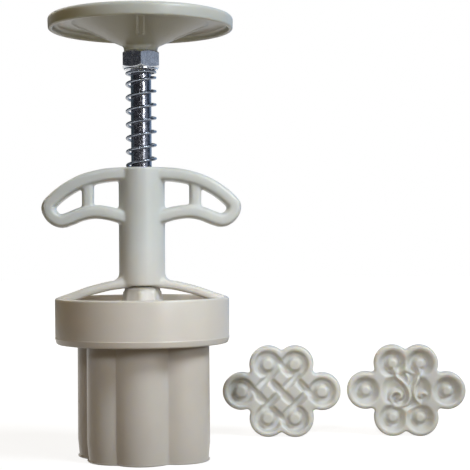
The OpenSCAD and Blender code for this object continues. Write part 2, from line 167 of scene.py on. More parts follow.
def rounded(corners, steps=5):
    """A closed outline from (x, y, radius) corners, each turned into an arc of that radius."""
    longest = 0.48  # share of a side that one arc may take
    outline = []
    for i, (x, y, radius) in enumerate(corners):
        here = Vector((x, y))
        before = (Vector(corners[i - 1][:2]) - here)
        after = (Vector(corners[(i + 1) % len(corners)][:2]) - here)
        if radius <= 0:
            outline.append((x, y))
            continue
        before_n, after_n = before.normalized(), after.normalized()
        half = before_n.angle(after_n) / 2
        reach = min(radius / math.tan(half), longest * before.length, longest * after.length)
        radius = reach * math.tan(half)
        middle = here + (before_n + after_n).normalized() * (radius / math.sin(half))
        start = here + before_n * reach - middle
        end = here + after_n * reach - middle
        sweep = math.atan2(start.x * end.y - start.y * end.x, start.dot(end))
        for k in range(steps + 1):
            point = Matrix.Rotation(sweep * k / steps, 2) @ start + middle
            outline.append((point.x, point.y))
    return outline


def lathe(name, profile, segments=144, start=0.0, sweep=math.tau):
    """Turns a closed (radius, z) outline about Z, all the way round or through a sector."""
    whole = sweep >= math.tau - 1e-6
    count = segments if whole else max(4, int(segments * sweep / math.tau))
    angles = [start + sweep * k / count for k in range(count if whole else count + 1)]
    rings = [[(r * math.cos(a), r * math.sin(a), z) for r, z in profile] for a in angles]
    return rings_object(name, rings, close=whole)


def prism(name, outline, z0, z1):
    """An upright prism over an [x, y] outline."""
    return rings_object(name, [[(x, y, z) for x, y in outline] for z in (z0, z1)])


def side_prism(name, outline, depth, turn=0.0):
    """A plate over an [x, z] outline, depth thick along Y, then turned about Z."""
    rings = [[(x, y, z) for x, z in outline] for y in (-depth / 2, depth / 2)]
    obj = rings_object(name, rings)
    obj.data.transform(Matrix.Rotation(turn, 4, "Z"))
    return obj


def smooth_path(points, steps):
    """Catmull-Rom curve through the points."""
    path = []
    last = len(points) - 1
    p = [np.array(q, float) for q in points]
    for i in range(last):
        a, b, c, d = p[max(i - 1, 0)], p[i], p[i + 1], p[min(i + 2, last)]
        for k in range(steps):
            t = k / steps
            path.append(0.5 * (2 * b + (c - a) * t + (2 * a - 5 * b + 4 * c - d) * t * t
                               + (3 * b - a - 3 * c + d) * t ** 3))
    return path + [p[last]]


def bar(name, path, thickness, depth, softness, sides=28):
    """A bar along a path of [x, z] points. Its section is a soft rectangle, rounder as softness nears 1."""
    rings = []
    for i, point in enumerate(path):
        along = path[min(i + 1, len(path) - 1)] - path[max(i - 1, 0)]
        along = along / np.linalg.norm(along)
        ring = []
        for j in range(sides):
            a = math.tau * (j + 0.5) / sides
            across = thickness / 2 * math.copysign(abs(math.cos(a)) ** softness, math.cos(a))
            y = depth / 2 * math.copysign(abs(math.sin(a)) ** softness, math.sin(a))
            ring.append((point[0] - along[1] * across, y, point[1] + along[0] * across))
        rings.append(ring)
    return rings_object(name, rings)


def mirrored(obj):
    """A copy of the object mirrored in the YZ plane."""
    data = obj.data.copy()
    data.transform(Matrix.Scale(-1, 4, (1, 0, 0)))
    data.flip_normals()
    return scene_object(obj.name, data)


def join(name, objects):
    """One object that holds all the meshes."""
    joined = bmesh.new()
    for obj in objects:
        joined.from_mesh(obj.data)
        bpy.data.objects.remove(obj)
    mesh = bpy.data.meshes.new(name)
    joined.to_mesh(mesh)
    joined.free()
    shade_smooth(mesh)
    return scene_object(name, mesh)


def apply_modifiers(obj):
    """Turns the object's modifiers into its mesh."""
    evaluated = obj.evaluated_get(bpy.context.evaluated_depsgraph_get())
    mesh = bpy.data.meshes.new_from_object(evaluated)
    obj.modifiers.clear()
    obj.data = mesh
    shade_smooth(mesh)
    return obj


def moulded(name, objects, voxel=0.5, rounds=6):
    """Melts overlapping solids into one skin with soft edges and inner corners."""
    obj = join(name, objects)
    remesh = obj.modifiers.new("remesh", "REMESH")
    remesh.mode = "VOXEL"
    remesh.voxel_size = voxel * MM
    soften = obj.modifiers.new("soften", "SMOOTH")
    soften.factor = 0.5
    soften.iterations = rounds
    return apply_modifiers(obj)


def cut(obj, *cutters):
    """Takes the cutters out of the object."""
    for cutter in cutters:
        modifier = obj.modifiers.new("cut", "BOOLEAN")
        modifier.operation = "DIFFERENCE"
        modifier.object = cutter
        modifier.solver = "MANIFOLD"
    apply_modifiers(obj)
    for cutter in cutters:
        bpy.data.objects.remove(cutter)
    return obj


def sharpen(obj, degrees=40):
    """Keeps the edges that are steeper than this sharp."""
    obj.data.set_sharp_from_angle(angle=math.radians(degrees))
    return obj


# ---------------------------------------------------------------- flower outline

def toward(angle):
    """The unit vector at an angle."""
    return np.array([math.cos(angle), math.sin(angle)])


def bearing(v):
    """The angle of an [x, y] vector."""
    return math.atan2(v[1], v[0])


def lobes(pitch):
    """Centres of the six lobes, counterclockwise."""
    return [np.array(c, float) * pitch for c in
            ((1.5, 0), (0.5, 1), (-0.5, 1), (-1.5, 0), (-0.5, -1), (0.5, -1))]


def flower(pitch, r, fillet):
    """Outline of six round lobes of radius r with hollows of radius fillet between them."""
    lobe_steps, hollow_steps = 22, 7
    centres = lobes(pitch)

    def hollow(a, b):
        middle, d = (a + b) / 2, b - a
        outward = np.array([d[1], -d[0]]) / np.linalg.norm(d)
        return middle + outward * math.sqrt((r + fillet) ** 2 - (np.linalg.norm(d) / 2) ** 2)

    outline = []
    for i, centre in enumerate(centres):
        following = centres[(i + 1) % len(centres)]
        before, after = hollow(centres[i - 1], centre), hollow(centre, following)
        start = bearing(before - centre)
        sweep = (bearing(after - centre) - start) % math.tau
        outline += [centre + r * toward(start + sweep * k / lobe_steps) for k in range(lobe_steps + 1)]
        turn = start + sweep + math.pi
        bend = (turn - bearing(following - after)) % math.tau
        outline += [after + fillet * toward(turn - bend * k / hollow_steps) for k in range(1, hollow_steps)]
    return outline


def turned(outline, angle):
    """The outline turned about the origin."""
    c, s = math.cos(angle), math.sin(angle)
    return [(c * x - s * y, s * x + c * y) for x, y in outline]


def level(outline, z):
    """The outline as a ring at a height."""
    return [(x, y, z) for x, y in outline]


# ---------------------------------------------------------------- barrel

def bayonet(name, profile):
    """The profile turned through LUG_ANGLE at each of the bayonet's places."""
    return [
        lathe(name, profile, start=math.tau * i / LUG_COUNT + math.pi / 2 - LUG_ANGLE / 2, sweep=LUG_ANGLE)
        for i in range(LUG_COUNT)]


def make_barrel():
    """The lobed shell with soft lips at its foot, and the round flange with the bayonet's tabs."""
    def outer(inset, z):
        return level(turned(flower(OUTER_PITCH, OUTER_R - inset, CREASE_R + inset), FLOWER_TURN), z)

    def inner(inset, z):
        return level(turned(flower(LOBE_PITCH, CAVITY_R + inset, CAVITY_NOTCH_R - inset), FLOWER_TURN), z)

    def lip(side, radius):
        """The rings of a lip round the foot's rim, from the wall down."""
        arc = [math.radians(a) for a in (90, 72, 54, 36, 18, 0)]
        return [side(radius * (1 - math.cos(a)), radius * (1 - math.sin(a))) for a in reversed(arc)]

    levels, lip_out, lip_in, mouth = (8, 20, 34, 46), 0.75, 0.4, 0.2
    rings = lip(outer, lip_out)
    rings += [outer(0, z) for z in (*levels, BARREL_H + 1)]
    rings += [inner(mouth, FLANGE_TOP), inner(0, FLANGE_TOP - mouth)]
    rings += [inner(0, z) for z in reversed(levels)]
    rings += reversed(lip(inner, lip_in))
    shell = rings_object("shell", rings, close=True)

    # The flange starts inside the wall, so that its bore doesn't double the cavity's skin.
    in_wall = 0.5
    bore = turned(flower(LOBE_PITCH, CAVITY_R + in_wall, CAVITY_NOTCH_R - in_wall), FLOWER_TURN)

    def circle(r, z):
        return [(r * x / math.hypot(x, y), r * y / math.hypot(x, y), z) for x, y in bore]

    edge, overlap, drop = 0.4, 3, 0.02
    flange = rings_object("flange", [
        level(bore, BARREL_H), level(bore, FLANGE_TOP), circle(FLANGE_R - edge, FLANGE_TOP),
        circle(FLANGE_R, FLANGE_TOP - edge), circle(FLANGE_R, BARREL_H)], close=True)
    tab = rounded([(FLANGE_R - overlap, BARREL_H, 0), (TAB_R, BARREL_H, edge),
                   (TAB_R, FLANGE_TOP, edge), (FLANGE_R - overlap, FLANGE_TOP - drop, 0)], 3)
    return sharpen(join("barrel_shell", [shell, flange] + bayonet("tab", tab)))


# ---------------------------------------------------------------- handle

def make_wings():
    """Both finger wings: a loop of soft bar with an upright strut."""
    wing_z = STEM_TOP - WING_H
    path = smooth_path([(x * WING_REACH, wing_z + z * WING_H) for x, z in WING_SHAPE], 6)
    loop = bar("wing", path, BAR_T, WING_D, softness=0.5)
    x0, x1, y1, edge = STRUT_X - STRUT_T / 2, STRUT_X + STRUT_T / 2, WING_D / 2 - 1.2, 1.6
    strut = prism("strut", rounded([(x0, -y1, edge), (x1, -y1, edge), (x1, y1, edge), (x0, y1, edge)]),
                  wing_z + 0.26 * WING_H, wing_z + 0.86 * WING_H)
    return [loop, strut, mirrored(loop), mirrored(strut)]


def make_arms():
    """The two bridge arms that carry the stem over the collar, with the fillets at the stem's foot."""
    reach = COLLAR_R - (COLLAR_R - COLLAR_BORE) / 2
    path = smooth_path([(x * reach, STEM_Z + z * BRIDGE_RISE) for x, z in ARM_SHAPE], 8)
    arm = bar("arm", path, ARM_T, ARM_D, softness=0.42)
    r, top, root = 3.4, STEM_Z + ARM_T / 2 + 0.1, 2
    slices = []
    for y in np.linspace(-ARM_D / 2 + 0.8, ARM_D / 2 - 0.8, 15):
        # The fillet starts on the round stem and ends on the arm's flat top.
        side = math.sqrt(STEM_R ** 2 - y * y)
        reach = STEM_R + r - side
        arc = [(side + reach * (1 - math.cos(b)), top + r * (1 - math.sin(b)))
               for b in np.linspace(math.pi / 2, 0, 9)]
        outline = [(side - root, top - root), (side + reach, top - root)] + arc + [(side - root, top + r)]
        slices.append([(x, y, z) for x, z in outline])
    fillet = rings_object("fillet", slices)
    return [arm, fillet, mirrored(arm), mirrored(fillet)]


def make_handle():
    """The stem, wings and arms as one moulding, with the collar round it."""
    stem = lathe("stem", rounded([(0, STEM_Z, 0), (STEM_R, STEM_Z, 0.5), (STEM_R, STEM_TOP, 0.7),
                                  (0, STEM_TOP, 0)]), 96)
    stem = moulded("stem_and_wings", [stem] + make_wings() + make_arms())
    bore = lathe("bore", [(0, STEM_Z - 20), (BORE_R, STEM_Z - 20), (BORE_R, POCKET_Z), (POCKET_R, POCKET_Z),
                          (POCKET_R, STEM_TOP + 2), (0, STEM_TOP + 2)], 96)
    # Room for the foot's hub under the stem
    recess_r = FOOT_HUB_R + 0.8
    recess = lathe("recess", [(0, STEM_Z - 10), (recess_r, STEM_Z - 10), (recess_r, STEM_Z), (0, STEM_Z)], 96)
    cut(stem, bore, recess)

    # A band runs round the collar's lower edge, and leans in towards the bottom.
    band_h, band_out, lean = 2.7, 0.14, 0.75
    collar = lathe("collar", rounded([
        (COLLAR_BORE, COLLAR_Z, 0.3), (COLLAR_R - lean, COLLAR_Z, 0.9), (COLLAR_R, COLLAR_Z + band_h, 0.2),
        (COLLAR_R - band_out, COLLAR_Z + band_h + 0.25, 0.15), (COLLAR_R - 0.1, COLLAR_TOP, 1.0),
        (COLLAR_BORE, COLLAR_TOP, 0.5)]), 192)
    in_wall, ledge_top = COLLAR_BORE + 1, LEDGE_Z + LEDGE_T
    ledge = lathe("ledge", [(COLLAR_BORE - LEDGE_W, LEDGE_Z), (in_wall, LEDGE_Z),
                            (in_wall, ledge_top), (COLLAR_BORE - LEDGE_W, ledge_top)], 192)
    lug_r, lug_z, lug_top = COLLAR_BORE - LUG_REACH, COLLAR_Z + 0.02, COLLAR_Z + LUG_T
    lug = rounded([(lug_r, lug_z, 0.4), (in_wall, lug_z, 0), (in_wall, lug_top, 0), (lug_r, lug_top, 0.4)], 3)
    return sharpen(join("handle_moulding", [stem, collar, ledge] + bayonet("lug", lug)))


# ---------------------------------------------------------------- plunger

def make_rod():
    """The rod with its shoulder and lower pin, chamfered at both ends."""
    tip = 0.8
    return sharpen(lathe("rod", rounded([
        (0, ROD_BOTTOM, 0), (THREAD_R - tip, ROD_BOTTOM, 0), (THREAD_R, ROD_BOTTOM + tip, 0),
        (THREAD_R, SHOULDER_Z, 0), (ROD_R, SHOULDER_Z, 0.2), (ROD_R, ROD_TOP - tip, 0.3),
        (ROD_R - tip, ROD_TOP, 0), (0, ROD_TOP, 0)], 3), 96))


def make_nut():
    """A chamfered hexagonal nut on a thin washer face, with one corner to the front."""
    bore, chamfer, face_h, steps = ROD_R + FIT, 0.5, 0.7, 144
    start_r, slope = NUT_W / 2 * 0.985, math.tan(math.radians(33))
    rings = []
    for j in range(steps):
        a = math.tau * j / steps
        corner = (a % (math.pi / 3)) - math.pi / 6
        r = NUT_W / 2 / math.cos(corner)
        drop = max(0.0, r - start_r) * slope + 0.05
        outline = [
            (bore, NUT_H - chamfer), (bore + chamfer, NUT_H), (start_r - 0.3, NUT_H), (start_r, NUT_H - 0.02),
            (r - 0.12, NUT_H - drop + 0.06), (r, NUT_H - drop - 0.1), (r, face_h + drop + 0.1),
            (r - 0.12, face_h + drop - 0.06), (start_r, face_h + 0.02), (start_r - 0.35, face_h),
            (start_r - 0.35, 0.15), (start_r - 0.5, 0), (bore + chamfer, 0), (bore, chamfer)]
        turn = a + math.pi / 6
        rings.append([(q * math.cos(turn), q * math.sin(turn), NUT_Z + z) for q, z in outline])
    return sharpen(rings_object("hex_nut", rings, close=True), 24)


def make_disc():
    """The disc with its rim, and the hub, cone and low ribs underneath."""
    plate_z = DISC_TOP - PLATE_T
    inner = DISC_R - RIM_T
    border_r, dish = DISC_R - 4.2, 0.35
    shell = lathe("disc", rounded([
        (0, plate_z, 0), (inner - 0.3, plate_z, 1.6), (inner, RIM_Z, 0.9), (DISC_R - 0.25, RIM_Z, 1.1),
        (DISC_R, DISC_TOP, 1.9), (border_r, DISC_TOP - 0.02, 0.6), (border_r - 1, DISC_TOP - dish, 0.6),
        (0, DISC_TOP - dish, 0)], 6), 192)
    slope = (plate_z - CONE_Z) / (CONE_REACH - CONE_R)
    skirt = CONE_REACH + 3
    hub = lathe("hub", [
        (0, HUB_Z), (HUB_R - 0.5, HUB_Z), (HUB_R, HUB_Z + 0.5), (HUB_R, CONE_Z - 1.4),
        (HUB_R + 0.45, CONE_Z - 0.5), (CONE_R, CONE_Z), (CONE_REACH, plate_z),
        (skirt, plate_z + 0.3), (skirt, plate_z + 1.2), (0, plate_z + 1.2)], 144)
    start, low = CONE_R + 6, CONE_Z - RIB_H
    rib = [(start, plate_z + 1), (RIB_REACH, plate_z + 1), (RIB_REACH, low + slope * (RIB_REACH - CONE_R)),
           (start, low + slope * (start - CONE_R))]
    ribs = [side_prism("rib", rib, RIB_T, math.tau * k / RIB_COUNT) for k in range(RIB_COUNT)]
    core = moulded("core", [hub] + ribs, 0.4, 4)
    hole_r, hole_top = ROD_R + FIT, ROD_TOP + 0.4
    cut(core, lathe("hole", [(0, HUB_Z - 1), (hole_r, HUB_Z - 1), (hole_r, hole_top), (0, hole_top)], 96))
    return sharpen(join("palm_plate", [shell, core]))


def make_foot():
    """The flower plate with its flared, ribbed hub above and its spigot and nut pocket below."""
    plate_top = FOOT_Z + FOOT_T
    outline = flower(LOBE_PITCH, LOBE_R - FOOT_PLAY, NOTCH_R + FOOT_PLAY)
    plate = prism("plate", turned(outline, FLOWER_TURN), FOOT_Z, plate_top)
    r = FOOT_HUB_R
    hub = lathe("hub", [
        (0, plate_top - 1), (r + 8.5, plate_top - 1), (r + 8.5, plate_top), (r + 4.4, plate_top + 3.4),
        (r + 2.2, plate_top + 9), (r + 1, plate_top + 16), (r, FOOT_TOP - 0.6),
        (r - 0.6, FOOT_TOP), (0, FOOT_TOP)], 96)
    rib = [(r - 2, plate_top - 1), (r + 10, plate_top - 1), (r + 10, plate_top), (r + 5.6, plate_top + 5),
           (r + 2, plate_top + 13), (r + 0.8, FOOT_TOP - 2.4), (r - 2, FOOT_TOP - 2.4)]
    ribs = [side_prism("rib", rib, 1.8, math.tau * (k + 0.5) / FOOT_RIBS + FLOWER_TURN)
            for k in range(FOOT_RIBS)]
    root = FOOT_Z + 1
    spigot = lathe("spigot", [(0, SPIGOT_Z), (SPIGOT_R, SPIGOT_Z), (SPIGOT_R, root), (0, root)], 96)
    foot = moulded("foot_moulding", [plate, hub, spigot] + ribs, 0.5, 3)
    hole = lathe("hole", [
        (0, SPIGOT_Z - 1), (FOOT_POCKET_R, SPIGOT_Z - 1), (FOOT_POCKET_R, FOOT_POCKET_TOP),
        (THREAD_R + FIT, FOOT_POCKET_TOP), (THREAD_R + FIT, SHOULDER_Z),
        (ROD_R + FIT, SHOULDER_Z), (ROD_R + FIT, FOOT_TOP + 1), (0, FOOT_TOP + 1)], 96)
    return sharpen(cut(foot, hole))


# ---------------------------------------------------------------- spring

def make_spring():
    """The helix with its two end turns closed up, as a tube."""
    turn_steps, sides, closing = 28, 12, 1.6
    low, high = SPRING_Z + WIRE_R, SPRING_END - WIRE_R
    end_rise = 2 * WIRE_R

    def angle(z):
        return math.tau * (z - STEM_TOP - COIL_PHASE) / COIL_PITCH

    open_low, open_high = low + end_rise, high - end_rise
    points = []
    for k in range(turn_steps):
        t = k / turn_steps
        points.append((angle(open_low) - math.tau * (1 - t), low + end_rise * t ** closing))
    count = int((open_high - open_low) / COIL_PITCH * turn_steps)
    points += [(angle(z), z) for z in np.linspace(open_low, open_high, count)]
    for k in range(1, turn_steps + 1):
        t = k / turn_steps
        points.append((angle(open_high) + math.tau * t, high - end_rise * (1 - t) ** closing))
    path = [np.array([COIL_R * math.cos(a), COIL_R * math.sin(a), z]) for a, z in points]
    rings = []
    for i, p in enumerate(path):
        along = path[min(i + 1, len(path) - 1)] - path[max(i - 1, 0)]
        along /= np.linalg.norm(along)
        outward = np.array([p[0], p[1], 0]) / COIL_R
        n = np.cross(along, outward)
        n /= np.linalg.norm(n)
        m = np.cross(n, along)
        rings.append([p + WIRE_R * (m * math.cos(b) + n * math.sin(b))
                      for b in np.linspace(0, math.tau, sides, False)])
    return rings_object("spring_coil", rings)


# ---------------------------------------------------------------- stamps

def sdf_segment(x, y, a, b):
    """Distance from the points to the segment a-b."""
    a, b = np.array(a, float), np.array(b, float)
    d = b - a
    t = np.clip(((x - a[0]) * d[0] + (y - a[1]) * d[1]) / (d @ d), 0, 1)
    return np.hypot(x - a[0] - t * d[0], y - a[1] - t * d[1])


def sdf_path(x, y, path):
    """Distance from the points to a path."""
    distance = np.full(x.shape, np.inf)
    for a, b in zip(path[:-1], path[1:]):
        distance = np.minimum(distance, sdf_segment(x, y, a, b))
    return distance


def sdf_outline(x, y, outline):
    """Signed distance to a closed outline, negative inside."""
    distance = sdf_path(x, y, list(outline) + [outline[0]])
    inside = np.zeros(x.shape, bool)
    for (x0, y0), (x1, y1) in zip(outline, outline[1:] + outline[:1]):
        if y0 != y1:
            inside ^= ((y0 > y) != (y1 > y)) & (x < (x1 - x0) * (y - y0) / (y1 - y0) + x0)
    return np.where(inside, -distance, distance)


def ridge(distance, half_width, height):
    """A rounded ridge of that half width: height on its line, 0 beyond its edge."""
    t = np.clip(distance / half_width, 0, 1)
    return height * (0.5 + 0.5 * np.cos(math.pi * t))


def smoothstep(edge0, edge1, v):
    """0 at the first edge and 1 at the second, with a soft start and end."""
    t = np.clip((v - edge0) / (edge1 - edge0), 0, 1)
    return t * t * (3 - 2 * t)


def relief_skin(name, height_at):
    """The patterned face of a stamp, as a grid that is drawn in to the outline at its border."""
    outline = [tuple(p) for p in flower(LOBE_PITCH, LOBE_R, NOTCH_R)]
    step, border_r, smoothing = 0.32, 1.3, 3
    half_x, half_y = 1.5 * LOBE_PITCH + LOBE_R + step, LOBE_PITCH + LOBE_R + step
    x, y = np.meshgrid(np.arange(-half_x, half_x, step), np.arange(-half_y, half_y, step))
    edge = sdf_outline(x, y, outline)
    # Points just outside the outline are drawn in to it, which gives the plate a clean edge.
    gy, gx = np.gradient(edge, step)
    size = np.maximum(np.hypot(gx, gy), 1e-6)
    pull = np.clip(edge, 0, None)
    near = edge < step * 1.05
    px = np.where(near, x - gx / size * pull, x)
    py = np.where(near, y - gy / size * pull, y)
    top = height_at(px, py)
    for _ in range(smoothing):
        soft = np.pad(top, 1, mode="edge")
        around = soft[:-2, 1:-1] + soft[2:, 1:-1] + soft[1:-1, :-2] + soft[1:-1, 2:]
        top = (soft[1:-1, 1:-1] * 2 + around) / 6
    inset = np.clip(-edge, 0, None)
    t = np.clip(inset / border_r, 0, 1)
    rounding = STAMP_T - border_r + border_r * np.sqrt(1 - (1 - t) ** 2)
    top = np.where(inset < border_r, np.minimum(top, rounding), top)

    rows, columns = x.shape
    index = np.full(x.shape, -1)
    index[near] = np.arange(near.sum())
    vertices = list(zip(px[near], py[near], top[near]))
    faces = []
    for i in range(rows - 1):
        for j in range(columns - 1):
            corner = (index[i, j], index[i, j + 1], index[i + 1, j + 1], index[i + 1, j])
            if min(corner) >= 0:
                faces.append(corner)
    return mesh_object(name, vertices, faces)


def stamp_mesh(name, height_at, place):
    """A pattern plate that stands on edge: the patterned face, its side and back, and the socket ring."""
    plate = relief_skin(name, height_at)
    skin = bmesh.new()
    skin.from_mesh(plate.data)
    border = [e for e in skin.edges if e.is_boundary]
    for v in bmesh.ops.extrude_edge_only(skin, edges=border)["geom"]:
        if isinstance(v, bmesh.types.BMVert):
            v.co.z = 0
    bmesh.ops.holes_fill(skin, edges=[e for e in skin.edges if e.is_boundary], sides=0)
    bmesh.ops.recalc_face_normals(skin, faces=skin.faces)
    skin.to_mesh(plate.data)
    skin.free()

    outer = SPIGOT_R + SOCKET_PLAY + SOCKET_WALL
    bore, edge, root = outer - SOCKET_WALL, 0.3, 0.5
    ring = lathe("socket", rounded([(bore, -SOCKET_H, edge), (outer, -SOCKET_H, edge),
                                    (outer, root, 0), (bore, root, 0)], 3), 96)
    obj = join(name, [plate, ring])
    up = Matrix.Rotation(math.pi / 2, 4, "X")
    stand = Matrix.Translation((MM * place[0], MM * place[1], MM * (LOBE_PITCH + LOBE_R)))
    obj.data.transform(stand @ Matrix.Rotation(STAMP_TURN, 4, "Z") @ up)
    return sharpen(obj, 50)


BOSS_R = 2.8
STRAND_GAP, STRAND_HALF = LOBE_PITCH / math.sqrt(2), 1.95


def boss_height(x, y):
    """Low domes at the six lobe centres."""
    height = np.zeros(x.shape)
    for c in lobes(LOBE_PITCH):
        d = np.hypot(x - c[0], y - c[1])
        height = np.maximum(height, (RELIEF - 0.5) * (1 - smoothstep(BOSS_R - 1.1, BOSS_R + 0.9, d)))
    return height


def knot_height(x, y):
    """An endless knot: three grooves each way on the diagonals, looped round every boss, over and under."""
    p, q = (x + y) / math.sqrt(2) / STRAND_GAP, (x - y) / math.sqrt(2) / STRAND_GAP
    depth = np.zeros(x.shape)
    loop_depth = 0.74 * RELIEF

    def groove(distance, strength):
        return (1 - smoothstep(STRAND_HALF - 1.2, STRAND_HALF + 0.35, distance)) * strength

    for k in (-1, 0, 1):
        for along, across, hand in ((q, p, 0), (p, q, 1)):
            distance = np.abs(across - k) * STRAND_GAP
            # A strand is deep where it dips under the other and shallow where it passes over.
            wave = np.cos(math.pi * along) * (1 if (k + hand) % 2 == 0 else -1)
            strength = RELIEF * (0.66 + 0.26 * wave)
            depth = np.maximum(depth, np.where(np.abs(along) < 1.5, groove(distance, strength), 0))
    beyond = (np.abs(p) > 1) | (np.abs(q) > 1)
    for c in lobes(LOBE_PITCH):
        d = np.hypot(x - c[0], y - c[1])
        loop = groove(np.abs(d - STRAND_GAP / 2), loop_depth)
        depth = np.where(beyond | (d < STRAND_GAP / 2), np.maximum(depth, loop), depth)
    return STAMP_T - depth


def scroll_height(x, y):
    """Sunk lobes that run into a sunk middle, with a boss in every lobe and a scroll of soft ridges."""
    half_x, half_y, lobe_r, melt = 11.6, 9.2, 6.3, 1.4
    sunk = (np.hypot(x / half_x, y / half_y) - 1) * half_y
    for c in lobes(LOBE_PITCH):
        lobe = np.hypot(x - c[0], y - c[1]) - lobe_r
        blend = np.clip(0.5 + 0.5 * (sunk - lobe) / melt, 0, 1)
        sunk = sunk + (lobe - sunk) * blend - melt * blend * (1 - blend)
    field = 1 - smoothstep(-2.3, 1.0, sunk)
    floor_z = STAMP_T - RELIEF
    height = STAMP_T - RELIEF * field
    height = np.maximum(height, floor_z + boss_height(x, y))
    for points, half_width, tall in SCROLL_STROKES:
        path = smooth_path([(a * LOBE_PITCH, b * LOBE_PITCH) for a, b in points], 3)
        height = np.maximum(height, floor_z + ridge(sdf_path(x, y, path), half_width, tall) * field)
    return height


def spiral(centre, r0, r1, a0, a1, count):
    """Points of a spiral, in shares of the lobe pitch."""
    return [(centre[0] + (r0 + (r1 - r0) * k / count) * math.cos(math.radians(a0 + (a1 - a0) * k / count)),
             centre[1] + (r0 + (r1 - r0) * k / count) * math.sin(math.radians(a0 + (a1 - a0) * k / count)))
            for k in range(count + 1)]


# The path of each stroke in shares of the lobe pitch, its half width and its height
SCROLL_STROKES = [
    (spiral((-0.30, -0.24), 0.06, 0.42, -40, 320, 20)
     + [(0.13, -0.30), (0.10, 0.02), (-0.10, 0.32), (-0.34, 0.52), (-0.44, 0.80)], 2.0, 3.3),
    (spiral((0.60, -0.22), 0.06, 0.27, 180, -110, 14)
     + [(0.33, -0.24), (0.30, 0.10), (0.42, 0.38), (0.50, 0.66), (0.44, 0.84)], 1.8, 3.1),
    ([(-0.02, 0.66), (0.10, 0.44), (0.05, 0.20)], 1.6, 2.8),
]


# ---------------------------------------------------------------- materials

# The plastic is warm up to the first height and cool from the second, in metres: painted warmth, standing in
# for the warm translucent shade low on the press.
PAINTED_WARMTH_FULL_Z, PAINTED_WARMTH_GONE_Z = 0.060, 0.095


class Nodes:
    """A short way to write the nodes of a material or a world."""

    def __init__(self, owner, clear=False):
        owner.use_nodes = True
        self.owner = owner
        self.tree = owner.node_tree
        if clear:
            self.tree.nodes.clear()
        self.shader = self.tree.nodes.get("Principled BSDF")

    def add(self, kind, **inputs):
        """A new node. Its inputs are named with underscores, and take a value or another node's output."""
        node = self.tree.nodes.new("ShaderNode" + kind)
        for key, value in inputs.items():
            self.put(node, key.replace("_", " "), value)
        return node

    def put(self, node, key, value):
        socket = node.inputs[key]
        if isinstance(value, bpy.types.NodeSocket):
            self.tree.links.new(value, socket)
        else:
            socket.default_value = value

    def set(self, **inputs):
        """Sets inputs of the material's shader."""
        for key, value in inputs.items():
            self.put(self.shader, key.replace("_", " "), value)

    def place(self):
        return self.add("TexCoord").outputs["Object"]

    def noise(self, scale, detail=3.0, roughness=0.5, stretch=(1, 1, 1)):
        mapping = self.add("Mapping", Vector=self.place(), Scale=stretch)
        noise = self.add("TexNoise", Vector=mapping.outputs[0], Scale=scale, Detail=detail,
                         Roughness=roughness)
        return noise.outputs["Fac"]

    def ramp(self, factor, low, low_colour, high, high_colour):
        """Runs from one colour to the other as the factor goes from low to high."""
        ramp = self.add("ValToRGB", Fac=factor)
        stops = ((low, low_colour), (high, high_colour))
        for element, (position, colour) in zip(ramp.color_ramp.elements, stops):
            element.position = position
            element.color = (*colour, 1)
        return ramp.outputs["Color"]

    def map(self, factor, low, high, from_low=0.3, from_high=0.7):
        return self.add("MapRange", Value=factor, From_Min=from_low, From_Max=from_high,
                        To_Min=low, To_Max=high).outputs["Result"]

    def bump(self, height, strength, distance):
        node = self.add("Bump", Height=height, Strength=strength, Distance=distance)
        self.set(Normal=node.outputs["Normal"])

    def show(self, unseen, seen, output):
        """Gives one shader to the rays that light, and the other to those that show the background."""
        path = self.add("LightPath")
        shown = path.outputs["Is Camera Ray"]
        for ray in ("Is Glossy Ray", "Is Transmission Ray"):
            either = self.add("Math")
            either.operation = "MAXIMUM"
            self.put(either, 0, shown)
            self.put(either, 1, path.outputs[ray])
            shown = either.outputs[0]
        mix = self.add("MixShader")
        for i, value in enumerate((shown, unseen.outputs[0], seen.outputs[0])):
            self.put(mix, i, value)
        self.add(output, Surface=mix.outputs[0])


def ivory_plastic(name, warm, milky=0.3, painted_shade_tone=1.0):
    """Satin moulded ABS: slightly clouded and translucent, with painted warmth towards the bottom for the
    warm translucent shade there. Below 1, the last argument darkens the warm colour as painted shade.
    """
    n = Nodes(bpy.data.materials.new(name))
    clouds = n.noise(38, 2.0)
    cool = n.ramp(clouds, 0.3, (0.585, 0.597, 0.575), 0.7, (0.635, 0.652, 0.640))
    # The warm colour is painted warmth, and the shade factor below 1 darkens it further as painted shade.
    painted_warmth_cream = n.ramp(clouds, 0.3, [painted_shade_tone * c for c in (0.628, 0.578, 0.520)],
                   0.7, [painted_shade_tone * c for c in (0.676, 0.630, 0.577)])
    height = n.add("SeparateXYZ", Vector=n.place()).outputs["Z"]
    blend = n.add("Mix")
    blend.data_type = "RGBA"
    cool_socket, painted_warmth_socket, mixed_socket = 6, 7, 2
    # Painted warmth: the colour turns warmer towards the bottom, for the warm shade low on the press.
    n.put(blend, "Factor", n.map(height, warm, 0.0, PAINTED_WARMTH_FULL_Z, PAINTED_WARMTH_GONE_Z))
    n.put(blend, cool_socket, cool)
    n.put(blend, painted_warmth_socket, painted_warmth_cream)
    n.set(Base_Color=blend.outputs[mixed_socket], Roughness=n.map(n.noise(420, 4.0), 0.30, 0.42),
          Subsurface_Weight=milky, Subsurface_Radius=(1.0, 0.78, 0.40), Subsurface_Scale=0.0045,
          IOR=1.5, Coat_Weight=0.1, Coat_Roughness=0.22)
    n.bump(n.noise(900, 3.0), 0.12, 0.00006)
    return n.owner


